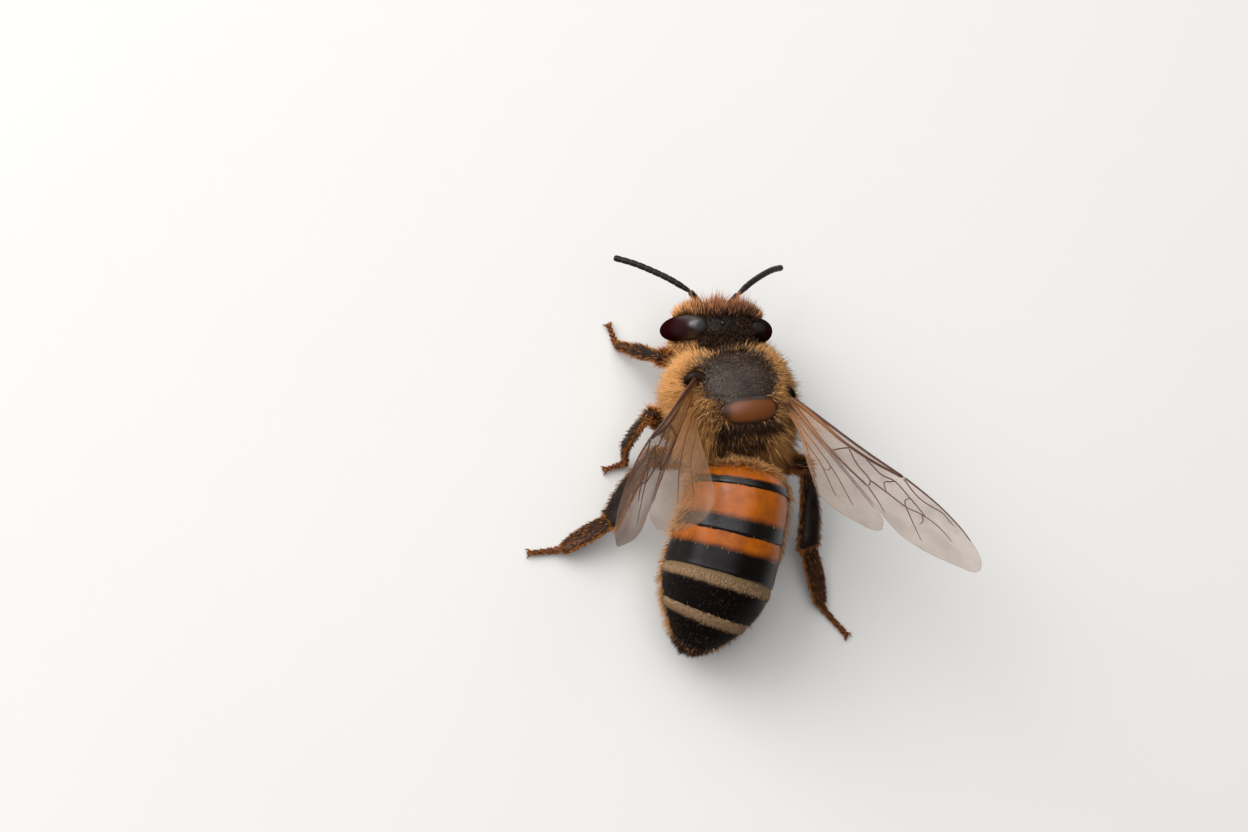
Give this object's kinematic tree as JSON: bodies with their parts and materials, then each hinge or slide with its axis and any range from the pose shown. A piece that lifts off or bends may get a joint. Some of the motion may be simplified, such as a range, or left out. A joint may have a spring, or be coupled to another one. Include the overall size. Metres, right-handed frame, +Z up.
{
  "type": "honey bee",
  "caption": "Life-size still model of a worker honey bee standing with its wings half raised, banded abdomen, furry thorax and bent feelers.",
  "frame": {"origin": "on the floor below the middle of the whole outline, wings, legs and feelers included", "axes": "+Z up, -Y the way the head looks, +X the bee's own left; the wings reach furthest along X"},
  "size_m": [0.0146, 0.014, 0.0092],
  "materials": {
    "coat": "short tan fur over dark brown shell",
    "banded_shell": "glossy orange and black bands with pale hair bands",
    "amber_shell": "glossy amber-brown shell",
    "black_shell": "satin black-brown shell",
    "leg_shell": "dark brown shell with short golden hair",
    "eye": "smooth black compound eye with fine facets",
    "wing_film": "clear film with brown veins"
  },
  "bodies": {
    "root": {"abdomen_1": "banded_shell", "abdomen_2": "banded_shell", "abdomen_3": "banded_shell", "abdomen_4": "banded_shell", "abdomen_5": "banded_shell", "abdomen_6": "banded_shell", "basitarsus_front_left": "leg_shell", "basitarsus_front_right": "leg_shell", "basitarsus_hind_left": "leg_shell", "basitarsus_hind_right": "leg_shell", "basitarsus_middle_left": "leg_shell", "basitarsus_middle_right": "leg_shell", "coxa_front_left": "leg_shell", "coxa_front_right": "leg_shell", "coxa_hind_left": "leg_shell", "coxa_hind_right": "leg_shell", "coxa_middle_left": "leg_shell", "coxa_middle_right": "leg_shell", "eye_left": "eye", "eye_right": "eye", "femur_front_left": "leg_shell", "femur_front_right": "leg_shell", "femur_hind_left": "leg_shell", "femur_hind_right": "leg_shell", "femur_middle_left": "leg_shell", "femur_middle_right": "leg_shell", "flagellum_left": "black_shell", "flagellum_right": "black_shell", "forewing_left": "wing_film", "forewing_right": "wing_film", "head": "coat", "hindwing_left": "wing_film", "hindwing_right": "wing_film", "mandible_left": "amber_shell", "mandible_right": "amber_shell", "proboscis": "leg_shell", "scape_left": "black_shell", "scape_right": "black_shell", "scutellum": "amber_shell", "tarsus_front_left": "leg_shell", "tarsus_front_right": "leg_shell", "tarsus_hind_left": "leg_shell", "tarsus_hind_right": "leg_shell", "tarsus_middle_left": "leg_shell", "tarsus_middle_right": "leg_shell", "tegula_left": "black_shell", "tegula_right": "black_shell", "thorax": "coat", "tibia_front_left": "leg_shell", "tibia_front_right": "leg_shell", "tibia_hind_left": "leg_shell", "tibia_hind_right": "leg_shell", "tibia_middle_left": "leg_shell", "tibia_middle_right": "leg_shell", "waist": "black_shell"}
  },
  "joints": []
}
